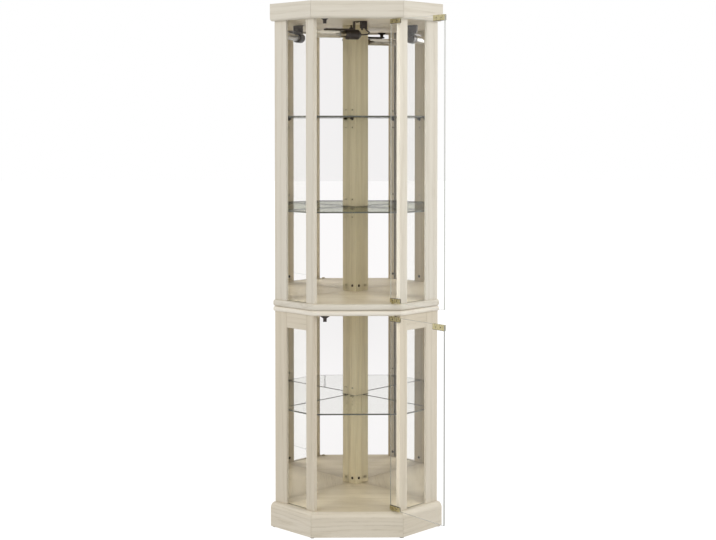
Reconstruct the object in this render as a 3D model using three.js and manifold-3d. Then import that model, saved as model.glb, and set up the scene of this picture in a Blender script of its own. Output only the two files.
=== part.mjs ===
// A corner curio cabinet in whitewashed ash, in two stacked sections with a glass door each.
// Its plan is a pentagon: two walls at a right angle, two short returns square to the walls,
// and a front. Both walls carry mirrors, the returns are glazed, and the doors stand open.
// Millimetres, +Z up, the front looks along -Y, origin under the rear glide.
import * as THREE from "three";
import { mergeVertices } from "three/addons/utils/BufferGeometryUtils.js";
import Module from "manifold-3d";

const wasm = await Module();
wasm.setup();

// Carcass
const CABINET_HEIGHT = 1800;
const FRONT_WIDTH = 309; // the front face, between the returns
const RETURN_WIDTH = 200.5; // each return, from its front corner to the wall
const PLINTH_TOP = 85; // top of the lower floor, above the ground
const SECTION_JOINT = 764.5; // where the upper section stands on the lower one
const CROWN_DEPTH = 58.5;
const CEILING_RISE = 6; // the ceiling lies this far above the crown's lower edge
const PANEL_THICKNESS = 18; // floor, ceiling and lower deck
const UPPER_DECK_THICKNESS = 22;
const FASCIA_THICKNESS = 22; // the boards of the plinth and the crown
const DECK_MARGIN = 13.5; // the decks stand back from the plinth by this much
const PLINTH_NOSE = 18; // radius of the plinth's upper edge
const CROWN_NOSE = 10; // radius of the crown's lower edge
const DECK_NOSE = 8.5; // radius of the decks' edges
const BASE_BOARD_THICKNESS = 18; // the two boards under the floor along the walls
const GLIDE_HEIGHT = 3;
const GLIDE_RADIUS = 8.5;
const GLIDE_CROWN = 1.2; // the rounded rim of a glide

// Posts, rails and the panes and mirrors that they hold
const FRAME_THICKNESS = 15; // posts and rails, square to the return
const FRONT_POST_WIDTH = 36.5; // along the return
const SIDE_POST_WIDTH = 58;
const REAR_POST_SIDE = 44.5;
const TOP_RAIL_HEIGHT = 52; // of the lower section's returns
const REBATE_WIDTH = 6; // how far a pane or mirror reaches into a post
const PANE_LIP = 8; // wood in front of a side pane
const PANE_THICKNESS = 4;
const MIRROR_THICKNESS = 6; // silvered glass on its backing board
const MIRROR_RECESS = 6; // from the wall to the back of the mirror

// Shelves on pegs, with spare holes above and below each peg
const SHELF_THICKNESS = 5;
const shelfShares = { lower: 0.4865, middle: 0.318, upper: 0.655 }; // of a section's inner height
const SHELF_SETBACK = 57; // from the front of the plinth to the edge of the glass
const SHELF_GAP = 2.5; // round the glass
const PEG_RADIUS = 2.5;
const PEG_REACH = 11;
const PEG_DEPTH = 9; // depth of a peg's hole
const HOLE_PITCH = 32;
const SPARE_HOLES = 1; // on each side of a peg

// Doors
const DOOR_THICKNESS = 5;
const DOOR_SETBACK = 3.8; // from the front corners of the posts to the glass
const DOOR_SIDE_GAP = 3.9; // the hinge edge swings clear of the post
const DOOR_FOOT_GAP = 5; // below the glass
const DOOR_HEAD_GAPS = { lower: 5, upper: 8 }; // the upper door also clears the crown
const PIVOT_INSET = 10; // from the hinge edge of the glass to its pivot
const DOOR_OPEN_DEGREES = 129;
const CLIP_WALL = 1.7;
const CLIP_BASE = 1.4;
const HINGE_CLIP_LENGTH = 50;
const HINGE_CLIP_HEIGHT = 13;
const STRIKE_CLIP_LENGTH = 54;
const STRIKE_CLIP_HEIGHT = 17;
const PIVOT_RADIUS = 3;
const PIVOT_END_GAP = 0.8; // between a pin and the floor of its socket
const SOCKET_RADIUS = 6;
const SOCKET_HEIGHT = 2.7;
const SOCKET_FLOOR = 0.6;

// Magnetic catches behind the free top corner of each door
const CATCH_LENGTH = 30;
const CATCH_NOSE = 12;
const CATCH_DROP = 21;
const CATCH_FLANGE = 3;
const CATCH_SHOULDER = 9; // where the flange has narrowed to the nose
const CATCH_DEPTH = 12;
const CATCH_OFFSET = 23; // from the door's free edge to the middle of the catch

// Ceiling lamp, measured from the back of its socket along the bulb
const LAMP_X = 15;
const LAMP_TO_CORNER = 212; // from the rear corner to the back of the socket
const LAMP_DROP = 46; // from the ceiling to the bulb's axis
const LAMP_TURN_DEGREES = 17; // the bulb swings forward from the cabinet's width
const LAMP_SOCKET_RADIUS = 17.5;
const LAMP_SOCKET_LENGTH = 54;
const LAMP_SOCKET_SHOULDER = 9; // the taper at its back end
const LAMP_SOCKET_BACK_RADIUS = 9;
const LAMP_RIM = 2.5; // how far the socket's mouth is rolled in
const BULB_CAP_RADIUS = 11.5;
const BULB_CAP_LENGTH = 19;
const BULB_RADIUS = 13;
const BULB_LENGTH = 118;
const BULB_TIP = 9; // length of its domed end
const BRACKET_WIDTH = 26;
const BRACKET_GAUGE = 1.5;
const BRACKET_FOOT = 22;
const BRACKET_LEG = 24; // from the back of the socket to the upright leg
const BRACKET_LENGTH = 106; // the shade over the bulb
const SWITCH_LENGTH = 24;
const SWITCH_WIDTH = 16;
const SWITCH_HEIGHT = 25;
const SWITCH_CORNER = 3;
const SWITCH_FORWARD = 22; // of the socket's back end
const SWITCH_ASIDE = 4;
const LEAD_RADIUS = 2.5;
const LEAD_LOOP = 26; // how far the lead swings out behind the socket

// Clearances and drawing steps
const SEAT_GAP = 0.3; // between pieces that touch
const MITRE_GAP = 0.2; // half of the gap in a mitre
const WELD = 0.001;
const NOSE_STEPS = 8;
const ROUND_STEPS = 16;
const LATHE_STEPS = 28;
const LEAD_STEPS = 16;
const LEAD_SIDES = 8;

const WOOD = new THREE.MeshStandardMaterial({ color: 0xd8cfbd, roughness: 0.55 });
const MIRROR = new THREE.MeshStandardMaterial({ color: 0xe6e8ea, roughness: 0.02, metalness: 1 });
const BRASS = new THREE.MeshStandardMaterial({ color: 0xc3b06e, roughness: 0.3, metalness: 1 });
const BLACK = new THREE.MeshStandardMaterial({ color: 0x1f1a17, roughness: 0.5 });
const NYLON = new THREE.MeshStandardMaterial({ color: 0x4a4640, roughness: 0.6 });
const BRONZE = new THREE.MeshStandardMaterial({ color: 0x3b2f24, roughness: 0.45, metalness: 0.6 });
const GLASS = new THREE.MeshStandardMaterial({
  color: 0xe4f0ec,
  roughness: 0.03,
  transparent: true,
  opacity: 0.25,
});
const BULB = new THREE.MeshStandardMaterial({
  color: 0xf2efe4,
  roughness: 0.08,
  transparent: true,
  opacity: 0.5,
});

const root2 = Math.SQRT2;
const mitreShare = Math.tan(Math.PI / 8); // of a moulding's depth, on a 45 degree corner
const halfFront = FRONT_WIDTH / 2;
const halfWidth = halfFront + RETURN_WIDTH / root2; // to the rear edges of the returns
const cabinetDepth = halfWidth + halfWidth - halfFront;
const frameInset = FASCIA_THICKNESS + SEAT_GAP;
const mirrorFace = MIRROR_RECESS + MIRROR_THICKNESS;

// Heights of the levels
const crownFoot = CABINET_HEIGHT - CROWN_DEPTH;
const ceiling = crownFoot + CEILING_RISE;
const lowerDeckFoot = SECTION_JOINT - PANEL_THICKNESS;
const upperFloor = SECTION_JOINT + UPPER_DECK_THICKNESS;
const railFoot = lowerDeckFoot - TOP_RAIL_HEIGHT;
const sections = [
  { name: "lower", foot: PLINTH_TOP, head: lowerDeckFoot, shelves: ["lower"] },
  { name: "upper", foot: upperFloor, head: ceiling, shelves: ["middle", "upper"] },
];

// Height of the middle of a shelf's glass
function shelfHeight({ foot, head }, shelf) {
  return foot + shelfShares[shelf] * (head - foot);
}

const cabinet = new THREE.Group();
cabinet.position.y = (root2 * BASE_BOARD_THICKNESS) / 2;

function addMesh(parent, name, geometry, material) {
  const mesh = new THREE.Mesh(geometry, material);
  mesh.name = name;
  parent.add(mesh);
  return mesh;
}

// Corners of the plan, moved in by an inset from the front and returns, and by a
// second one from the walls. The rear corner is at zero.
function wallCorner(inset, wallInset) {
  const x = halfWidth - (inset + wallInset) / root2;
  return [x, -root2 * wallInset - x];
}

function frontCorner(inset) {
  return [halfFront - mitreShare * inset, inset - cabinetDepth];
}

function mirrored([x, ...rest], side) {
  return [side * x, ...rest];
}

function planOutline(inset, wallInset) {
  const right = [frontCorner(inset), wallCorner(inset, wallInset)];
  const left = right.map((point) => mirrored(point, -1)).reverse();
  return [[0, -root2 * wallInset], ...left, ...right];
}

// A point on a return: so far along it from the frame's front corner, and so far inwards.
const returnLength = Math.hypot(
  wallCorner(frameInset, 0)[0] - frontCorner(frameInset)[0],
  wallCorner(frameInset, 0)[1] - frontCorner(frameInset)[1],
);

function onReturn(along, inwards) {
  const [x, y] = frontCorner(frameInset);
  return [x + (along - inwards) / root2, y + (along + inwards) / root2];
}

// A point by the right wall: so far along it from the rear corner, and so far off it.
const wallLength = Math.hypot(...wallCorner(frameInset, 0));

function onWall(along, off) {
  return [(along - off) / root2, -(along + off) / root2];
}

function prism(points, foot, head) {
  const shape = new THREE.Shape(points.map(([x, y]) => new THREE.Vector2(x, y)));
  const geometry = new THREE.ExtrudeGeometry(shape, { depth: head - foot, bevelEnabled: false });
  return geometry.translate(0, 0, foot);
}

// Six times the signed volume of a closed indexed mesh.
function signedVolume(positions, triangles) {
  const corner = (i) => new THREE.Vector3(...positions[i]);
  const parts = triangles.map(([a, b, c]) => corner(a).dot(corner(b).cross(corner(c))));
  return parts.reduce((sum, part) => sum + part, 0);
}

// A closed solid through rings of points. The outline gives the rings' order in the flat.
function loft(rings, outline) {
  const flat = outline.map(([x, y]) => new THREE.Vector2(x, y));
  if (THREE.ShapeUtils.isClockWise(flat)) {
    return loft(
      rings.map((ring) => [...ring].reverse()),
      [...outline].reverse(),
    );
  }
  const count = outline.length;
  const last = (rings.length - 1) * count;
  const triangles = [];
  for (let low = 0; low < last; low += count) {
    for (let i = 0; i < count; i += 1) {
      const next = (i + 1) % count;
      triangles.push([low + i, low + next, low + count + next]);
      triangles.push([low + i, low + count + next, low + count + i]);
    }
  }
  for (const [a, b, c] of THREE.ShapeUtils.triangulateShape(flat, [])) {
    triangles.push([c, b, a], [last + a, last + b, last + c]);
  }
  const positions = rings.flat();
  const out = signedVolume(positions, triangles) > 0;
  const index = triangles.flatMap(([a, b, c]) => (out ? [a, b, c] : [a, c, b]));
  const geometry = new THREE.BufferGeometry();
  geometry.setAttribute("position", new THREE.Float32BufferAttribute(positions.flat(), 3));
  geometry.setIndex(index);
  return geometry.toNonIndexed();
}

// Joining and cutting
function solidOf(geometry) {
  const bare = geometry.index ? geometry.toNonIndexed() : geometry.clone();
  bare.deleteAttribute("normal");
  bare.deleteAttribute("uv");
  const merged = mergeVertices(bare, WELD);
  const mesh = new wasm.Mesh({
    numProp: 3,
    vertProperties: merged.attributes.position.array,
    triVerts: new Uint32Array(merged.index.array),
  });
  return new wasm.Manifold(mesh);
}

function geometryOf(solid) {
  const mesh = solid.getMesh();
  const geometry = new THREE.BufferGeometry();
  geometry.setAttribute("position", new THREE.BufferAttribute(mesh.vertProperties, 3));
  geometry.setIndex(new THREE.BufferAttribute(mesh.triVerts, 1));
  return geometry;
}

// A quarter round between two levels, as points of inset and height.
function quarterRound(inset, height, radius, startDegrees) {
  const points = [];
  for (let i = 0; i <= NOSE_STEPS; i += 1) {
    const angle = THREE.MathUtils.degToRad(startDegrees + (90 * i) / NOSE_STEPS);
    points.push([inset - radius * Math.cos(angle), height + radius * Math.sin(angle)]);
  }
  return points;
}

// Glides under the five corners
function glide(name, [x, y]) {
  const top = GLIDE_HEIGHT - SEAT_GAP;
  const profile = [
    [0, 0],
    [GLIDE_RADIUS - GLIDE_CROWN, 0],
    [GLIDE_RADIUS, GLIDE_CROWN],
    [GLIDE_RADIUS, top],
    [0, top],
  ];
  const points = profile.map(([r, z]) => new THREE.Vector2(r, z));
  const geometry = new THREE.LatheGeometry(points, LATHE_STEPS).rotateX(Math.PI / 2);
  addMesh(cabinet, name, geometry, NYLON).position.set(x, y, 0);
}

const glideInset = FASCIA_THICKNESS / 2;
glide("glide_rear", [0, -cabinet.position.y]);
for (const [name, side] of Object.entries({ left: -1, right: 1 })) {
  glide(`glide_front_${name}`, mirrored(frontCorner(glideInset), side));
  glide(`glide_side_${name}`, mirrored(wallCorner(glideInset, glideInset), side));
}

// A mitred board along the front or a return, from its section of inset and height.
function fasciaFront(section) {
  const end = (side) =>
    section.map(([inset, z]) => {
      const [x, y] = frontCorner(inset);
      return [side * (x - MITRE_GAP), y, z];
    });
  return loft([end(-1), end(1)], section);
}

function fasciaReturn(section, side) {
  const shift = MITRE_GAP / root2;
  const front = section.map(([inset, z]) => {
    const [x, y] = frontCorner(inset);
    return mirrored([x + shift, y + shift, z], side);
  });
  const rear = section.map(([inset, z]) => mirrored([...wallCorner(inset, 0), z], side));
  return loft([front, rear], section);
}

function fasciaSet(name, section) {
  addMesh(cabinet, `${name}_front`, fasciaFront(section), WOOD);
  addMesh(cabinet, `${name}_left`, fasciaReturn(section, -1), WOOD);
  addMesh(cabinet, `${name}_right`, fasciaReturn(section, 1), WOOD);
}

// Plinth: three mitred boards with a rounded top edge, a floor, and two boards along the walls
fasciaSet("plinth", [
  [FASCIA_THICKNESS, GLIDE_HEIGHT],
  [0, GLIDE_HEIGHT],
  ...quarterRound(PLINTH_NOSE, PLINTH_TOP - PLINTH_NOSE, PLINTH_NOSE, 0),
  [FASCIA_THICKNESS, PLINTH_TOP],
]);

const floorFoot = PLINTH_TOP - PANEL_THICKNESS;
addMesh(cabinet, "floor_panel", prism(planOutline(frameInset, 0), floorFoot, PLINTH_TOP), WOOD);

function baseBoard(side) {
  const inner = root2 * BASE_BOARD_THICKNESS;
  const corners = [
    [MITRE_GAP, -MITRE_GAP],
    wallCorner(frameInset, 0),
    wallCorner(frameInset, BASE_BOARD_THICKNESS),
    [MITRE_GAP, -inner - MITRE_GAP],
  ];
  const points = corners.map((point) => mirrored(point, side));
  return prism(points, GLIDE_HEIGHT, floorFoot - SEAT_GAP);
}

addMesh(cabinet, "base_board_left", baseBoard(-1), WOOD);
addMesh(cabinet, "base_board_right", baseBoard(1), WOOD);

// Decks between the sections, with noses on the front and returns
function deck(foot, head) {
  const low = quarterRound(DECK_MARGIN + DECK_NOSE, foot + DECK_NOSE, DECK_NOSE, -90);
  const high = quarterRound(DECK_MARGIN + DECK_NOSE, head - DECK_NOSE, DECK_NOSE, 0);
  const rings = [...low, ...high].map(([inset, z]) =>
    planOutline(inset, 0).map((point) => [...point, z]),
  );
  return loft(rings, planOutline(0, 0));
}

addMesh(cabinet, "lower_deck", deck(lowerDeckFoot, SECTION_JOINT - SEAT_GAP), WOOD);
addMesh(cabinet, "upper_deck", deck(SECTION_JOINT, upperFloor), WOOD);

// Crown: a ceiling panel on the posts inside three mitred boards
fasciaSet("crown", [
  [FASCIA_THICKNESS, CABINET_HEIGHT],
  [0, CABINET_HEIGHT],
  ...quarterRound(CROWN_NOSE, crownFoot + CROWN_NOSE, CROWN_NOSE, -90).reverse(),
  [FASCIA_THICKNESS, crownFoot],
]);
const ceilingTop = ceiling + PANEL_THICKNESS;
addMesh(cabinet, "top_panel", prism(planOutline(frameInset, 0), ceiling, ceilingTop), WOOD);

// Posts. Outlines are drawn on the right and mirrored for the left.
const [openingHalf] = onReturn(0, FRAME_THICKNESS);
const openingFront = frontCorner(frameInset)[1];

function frontPostOutline() {
  const edge = FRONT_POST_WIDTH - REBATE_WIDTH;
  return [
    onReturn(0, 0),
    onReturn(FRONT_POST_WIDTH, 0),
    onReturn(FRONT_POST_WIDTH, PANE_LIP),
    onReturn(edge, PANE_LIP),
    onReturn(edge, FRAME_THICKNESS),
    onReturn(0, FRAME_THICKNESS),
  ];
}

function sidePostOutline() {
  const edge = returnLength - SIDE_POST_WIDTH;
  const mirror = returnLength - mirrorFace - SEAT_GAP;
  return [
    onReturn(edge, 0),
    onReturn(returnLength, 0),
    onReturn(returnLength, FRAME_THICKNESS - REBATE_WIDTH),
    onReturn(mirror, FRAME_THICKNESS - REBATE_WIDTH),
    onReturn(mirror, FRAME_THICKNESS),
    onReturn(edge + REBATE_WIDTH, FRAME_THICKNESS),
    onReturn(edge + REBATE_WIDTH, PANE_LIP),
    onReturn(edge, PANE_LIP),
  ];
}

function rearPostOutline() {
  const side = REAR_POST_SIDE;
  const edge = side - REBATE_WIDTH;
  const mirror = mirrorFace + SEAT_GAP;
  return [
    onWall(0, 0),
    onWall(edge, 0),
    onWall(edge, mirror),
    onWall(side, mirror),
    onWall(side, side),
    onWall(mirror, side),
    onWall(mirror, edge),
    onWall(0, edge),
  ];
}

// Where the pegs stand: a point on the post's inner face, and the way they point.
const pegShares = { front: 0.72, side: 0.5 }; // across each post's inner face
const frontPegSeat = onReturn(FRONT_POST_WIDTH * pegShares.front, FRAME_THICKNESS);
const sidePegSeat = onReturn(
  returnLength - SIDE_POST_WIDTH * pegShares.side,
  FRAME_THICKNESS,
);
const rearPegSeat = mirrored(onWall(REAR_POST_SIDE, (REAR_POST_SIDE + mirrorFace) / 2), -1);

function pegRod([x, y], degrees, height, from, to) {
  const turn = THREE.MathUtils.degToRad(degrees);
  const middle = (from + to) / 2;
  return new THREE.CylinderGeometry(PEG_RADIUS, PEG_RADIUS, to - from, ROUND_STEPS)
    .rotateZ(turn - Math.PI / 2)
    .translate(x + middle * Math.cos(turn), y + middle * Math.sin(turn), height);
}

const pegDrop = SHELF_THICKNESS / 2 + SEAT_GAP + PEG_RADIUS;

function post(outline, section, seat, degrees) {
  let solid = solidOf(prism(outline, section.foot + SEAT_GAP, section.head - SEAT_GAP));
  for (const shelf of section.shelves) {
    const level = shelfHeight(section, shelf) - pegDrop;
    for (let i = 1; i <= SPARE_HOLES; i += 1) {
      for (const step of [-i * HOLE_PITCH, i * HOLE_PITCH]) {
        const hole = pegRod(seat, degrees, level + step, -PEG_DEPTH, PEG_REACH);
        solid = solid.subtract(solidOf(hole));
      }
    }
    solid = solid.add(solidOf(pegRod(seat, degrees, level, -PEG_DEPTH, PEG_REACH)));
  }
  return geometryOf(solid);
}

for (const section of sections) {
  for (const [name, side] of Object.entries({ left: -1, right: 1 })) {
    const degrees = side > 0 ? 135 : 45;
    const place = (point) => mirrored(point, side);
    const front = post(frontPostOutline().map(place), section, place(frontPegSeat), degrees);
    const rear = post(sidePostOutline().map(place), section, place(sidePegSeat), degrees);
    addMesh(cabinet, `${section.name}_front_post_${name}`, front, WOOD);
    addMesh(cabinet, `${section.name}_side_post_${name}`, rear, WOOD);
  }
  const corner = post(rearPostOutline(), section, rearPegSeat, 225);
  addMesh(cabinet, `${section.name}_rear_post`, corner, WOOD);
}

// Top rails of the lower returns, rebated behind for the pane
const paneFrom = FRONT_POST_WIDTH + SEAT_GAP;
const paneTo = returnLength - SIDE_POST_WIDTH - SEAT_GAP;

function topRail(side) {
  const head = lowerDeckFoot - SEAT_GAP;
  const section = [
    [0, railFoot],
    [PANE_LIP, railFoot],
    [PANE_LIP, railFoot + REBATE_WIDTH],
    [FRAME_THICKNESS, railFoot + REBATE_WIDTH],
    [FRAME_THICKNESS, head],
    [0, head],
  ];
  const end = (along) =>
    section.map(([inwards, z]) => mirrored([...onReturn(along, inwards), z], side));
  return loft([end(paneFrom), end(paneTo)], section);
}

addMesh(cabinet, "lower_top_rail_left", topRail(-1), WOOD);
addMesh(cabinet, "lower_top_rail_right", topRail(1), WOOD);

// Side panes in the returns, and mirrors on the walls
function sidePane(side, foot, head) {
  const reach = REBATE_WIDTH - SEAT_GAP - SEAT_GAP;
  const outer = PANE_LIP + SEAT_GAP;
  const corners = [
    onReturn(paneFrom - reach, outer),
    onReturn(paneTo + reach, outer),
    onReturn(paneTo + reach, outer + PANE_THICKNESS),
    onReturn(paneFrom - reach, outer + PANE_THICKNESS),
  ];
  const points = corners.map((point) => mirrored(point, side));
  return prism(points, foot, head);
}

function wallMirror(side, foot, head) {
  const from = REAR_POST_SIDE - REBATE_WIDTH + SEAT_GAP;
  const to = wallLength - FRAME_THICKNESS + REBATE_WIDTH - SEAT_GAP;
  const corners = [
    onWall(from, MIRROR_RECESS),
    onWall(to, MIRROR_RECESS),
    onWall(to, mirrorFace),
    onWall(from, mirrorFace),
  ];
  const points = corners.map((point) => mirrored(point, side));
  return prism(points, foot, head);
}

const paneHeads = { lower: railFoot + REBATE_WIDTH, upper: ceiling };
for (const { name, foot, head } of sections) {
  for (const [hand, side] of Object.entries({ left: -1, right: 1 })) {
    const low = foot + SEAT_GAP;
    const pane = sidePane(side, low, paneHeads[name] - SEAT_GAP);
    addMesh(cabinet, `${name}_side_pane_${hand}`, pane, GLASS);
    addMesh(cabinet, `${name}_mirror_${hand}`, wallMirror(side, low, head - SEAT_GAP), MIRROR);
  }
}

// Shelves: plate glass cut round the rear post, on five pegs
function shelfOutline() {
  const notch = REAR_POST_SIDE + SHELF_GAP;
  const wallGap = mirrorFace + SHELF_GAP;
  const returnGap = frameInset + FRAME_THICKNESS + SHELF_GAP;
  const frontY = SHELF_SETBACK - cabinetDepth;
  const right = [
    onWall(notch, wallGap),
    wallCorner(returnGap, wallGap),
    [halfWidth + halfWidth - root2 * returnGap + frontY, frontY],
  ];
  const left = right.map((point) => mirrored(point, -1)).reverse();
  return [onWall(notch, notch), ...right, ...left];
}

for (const section of sections) {
  for (const shelf of section.shelves) {
    const foot = shelfHeight(section, shelf) - SHELF_THICKNESS / 2;
    const plate = prism(shelfOutline(), foot, foot + SHELF_THICKNESS);
    addMesh(cabinet, `${shelf}_shelf`, plate, GLASS);
  }
}

// Doors: frameless glass turning on brass clips, drawn closed about the pivot and then opened
const glassHalf = openingHalf - DOOR_SIDE_GAP;
const doorY = openingFront + DOOR_SETBACK + DOOR_THICKNESS / 2;
const pivotX = glassHalf - PIVOT_INSET;
const freeEdge = -glassHalf - pivotX;
const clipHalf = DOOR_THICKNESS / 2 + CLIP_WALL;

// A brass channel over an edge of the glass. It opens upwards, or downwards when hung.
function channel(from, to, edge, height, hung) {
  const slot = clipHalf - CLIP_WALL + SEAT_GAP;
  const section = [
    [-clipHalf, -CLIP_BASE],
    [clipHalf, -CLIP_BASE],
    [clipHalf, height],
    [slot, height],
    [slot, -SEAT_GAP],
    [-slot, -SEAT_GAP],
    [-slot, height],
    [-clipHalf, height],
  ];
  const up = hung ? -1 : 1;
  const end = (x) => section.map(([y, z]) => [x, y, edge + up * z]);
  return loft([end(from), end(to)], section);
}

function hingeClip(edge, gap, hung) {
  const to = PIVOT_INSET + CLIP_BASE;
  const body = channel(to - HINGE_CLIP_LENGTH, to, edge, HINGE_CLIP_HEIGHT, hung);
  const up = hung ? 1 : -1;
  const reach = gap - SOCKET_FLOOR - PIVOT_END_GAP;
  const pin = new THREE.CylinderGeometry(PIVOT_RADIUS, PIVOT_RADIUS, reach - SEAT_GAP, ROUND_STEPS)
    .rotateX(Math.PI / 2)
    .translate(0, 0, edge + (up * (reach + SEAT_GAP)) / 2);
  return geometryOf(solidOf(body).add(solidOf(pin)));
}

function pivotSocket(hung) {
  const bore = PIVOT_RADIUS + SEAT_GAP;
  const profile = [
    [0, 0],
    [SOCKET_RADIUS, 0],
    [SOCKET_RADIUS, SOCKET_HEIGHT],
    [bore, SOCKET_HEIGHT],
    [bore, SOCKET_FLOOR],
    [0, SOCKET_FLOOR],
  ];
  const points = profile.map(([r, z]) => new THREE.Vector2(r, z));
  const geometry = new THREE.LatheGeometry(points, LATHE_STEPS).rotateX(Math.PI / 2);
  return hung ? geometry.rotateX(Math.PI) : geometry;
}

function catchBody() {
  const half = CATCH_LENGTH / 2;
  const nose = CATCH_NOSE / 2;
  const outline = [
    [-half, 0],
    [half, 0],
    [half, -CATCH_FLANGE],
    [nose, -CATCH_SHOULDER],
    [nose, -CATCH_DROP],
    [-nose, -CATCH_DROP],
    [-nose, -CATCH_SHOULDER],
    [-half, -CATCH_FLANGE],
  ];
  const shape = new THREE.Shape(outline.map(([x, z]) => new THREE.Vector2(x, z)));
  const geometry = new THREE.ExtrudeGeometry(shape, { depth: CATCH_DEPTH, bevelEnabled: false });
  return geometry.rotateX(Math.PI / 2).translate(0, CATCH_DEPTH, 0);
}

for (const { name, foot, head } of sections) {
  const headGap = DOOR_HEAD_GAPS[name];
  const low = foot + DOOR_FOOT_GAP;
  const high = head - headGap;
  const door = new THREE.Group();
  door.position.set(pivotX, doorY, 0);
  door.rotation.z = THREE.MathUtils.degToRad(DOOR_OPEN_DEGREES);
  cabinet.add(door);

  const glass = new THREE.BoxGeometry(PIVOT_INSET - freeEdge, DOOR_THICKNESS, high - low);
  glass.translate((PIVOT_INSET + freeEdge) / 2, 0, (high + low) / 2);
  addMesh(door, `${name}_door_glass`, glass, GLASS);
  addMesh(door, `${name}_door_lower_hinge_clip`, hingeClip(low, DOOR_FOOT_GAP, false), BRASS);
  addMesh(door, `${name}_door_upper_hinge_clip`, hingeClip(high, headGap, true), BRASS);
  const strikeFrom = freeEdge - CLIP_BASE;
  const strikeTo = strikeFrom + STRIKE_CLIP_LENGTH;
  const strike = channel(strikeFrom, strikeTo, high, STRIKE_CLIP_HEIGHT, true);
  addMesh(door, `${name}_door_strike_clip`, strike, BRASS);

  const bottom = addMesh(cabinet, `${name}_pivot_socket_bottom`, pivotSocket(false), BRASS);
  bottom.position.set(pivotX, doorY, foot + SEAT_GAP);
  const top = addMesh(cabinet, `${name}_pivot_socket_top`, pivotSocket(true), BRASS);
  top.position.set(pivotX, doorY, head - SEAT_GAP);

  const magnet = addMesh(cabinet, `${name}_magnetic_catch`, catchBody(), BLACK);
  const behind = doorY + clipHalf + SEAT_GAP;
  magnet.position.set(CATCH_OFFSET - glassHalf, behind, head - SEAT_GAP);
}

// Lamp under the ceiling. Its parts are drawn along +X from the socket's back, then turned.
const lamp = new THREE.Group();
lamp.position.set(LAMP_X, -LAMP_TO_CORNER, ceiling - LAMP_DROP);
lamp.rotation.z = Math.PI + THREE.MathUtils.degToRad(LAMP_TURN_DEGREES);
cabinet.add(lamp);

function turned(profile) {
  const points = profile.map(([along, radius]) => new THREE.Vector2(radius, along));
  return new THREE.LatheGeometry(points, LATHE_STEPS).rotateZ(-Math.PI / 2);
}

const bulbFrom = LAMP_SOCKET_LENGTH + SEAT_GAP;
const bulbShoulder = bulbFrom + BULB_CAP_LENGTH;
const bulbEnd = bulbShoulder + BULB_LENGTH;

function socketProfile() {
  return [
    [0, 0],
    [0, LAMP_SOCKET_BACK_RADIUS],
    [LAMP_SOCKET_SHOULDER, LAMP_SOCKET_RADIUS],
    [LAMP_SOCKET_LENGTH - LAMP_RIM, LAMP_SOCKET_RADIUS],
    [LAMP_SOCKET_LENGTH, LAMP_SOCKET_RADIUS - LAMP_RIM],
    [LAMP_SOCKET_LENGTH, 0],
  ];
}

function bulbProfile() {
  const dome = [];
  for (let i = 0; i < NOSE_STEPS; i += 1) {
    const angle = (Math.PI * i) / (NOSE_STEPS + NOSE_STEPS);
    dome.push([bulbEnd - BULB_TIP + BULB_TIP * Math.sin(angle), BULB_RADIUS * Math.cos(angle)]);
  }
  return [
    [bulbFrom, 0],
    [bulbFrom, BULB_CAP_RADIUS],
    [bulbShoulder, BULB_CAP_RADIUS],
    [bulbShoulder, BULB_RADIUS],
    ...dome,
    [bulbEnd, 0],
  ];
}

// One bent strip: a foot on the ceiling, a leg down, and a shade over the bulb.
function bracketOutline() {
  const head = LAMP_DROP - SEAT_GAP;
  const shade = LAMP_SOCKET_RADIUS + SEAT_GAP;
  const leg = BRACKET_LEG;
  return [
    [leg - BRACKET_FOOT, head],
    [leg - BRACKET_FOOT, head - BRACKET_GAUGE],
    [leg - BRACKET_GAUGE, head - BRACKET_GAUGE],
    [leg - BRACKET_GAUGE, shade],
    [leg + BRACKET_LENGTH, shade],
    [leg + BRACKET_LENGTH, shade + BRACKET_GAUGE],
    [leg, shade + BRACKET_GAUGE],
    [leg, head],
  ];
}

addMesh(lamp, "lamp_socket", turned(socketProfile()), BLACK);
addMesh(lamp, "lamp_bulb", turned(bulbProfile()), BULB);
const bracketEnd = (y) => bracketOutline().map(([x, z]) => [x, y, z]);
const bracketEnds = [bracketEnd(-BRACKET_WIDTH / 2), bracketEnd(BRACKET_WIDTH / 2)];
addMesh(lamp, "lamp_bracket", loft(bracketEnds, bracketOutline()), BRONZE);

// Switch block on the ceiling, and the lead that loops to it from the back of the socket
const switchFoot = LAMP_DROP - SEAT_GAP - SWITCH_HEIGHT;

function switchOutline() {
  const long = SWITCH_LENGTH / 2;
  const wide = SWITCH_WIDTH / 2;
  const corner = (sx, sy) => [
    [sx * long, sy * (wide - SWITCH_CORNER)],
    [sx * (long - SWITCH_CORNER), sy * wide],
  ];
  return [
    ...corner(1, 1),
    ...corner(-1, 1).reverse(),
    ...corner(-1, -1),
    ...corner(1, -1).reverse(),
  ];
}

const switchBlock = prism(switchOutline(), switchFoot, LAMP_DROP - SEAT_GAP);
addMesh(lamp, "lamp_switch", switchBlock, BLACK).position.set(-SWITCH_ASIDE, SWITCH_FORWARD, 0);

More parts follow.
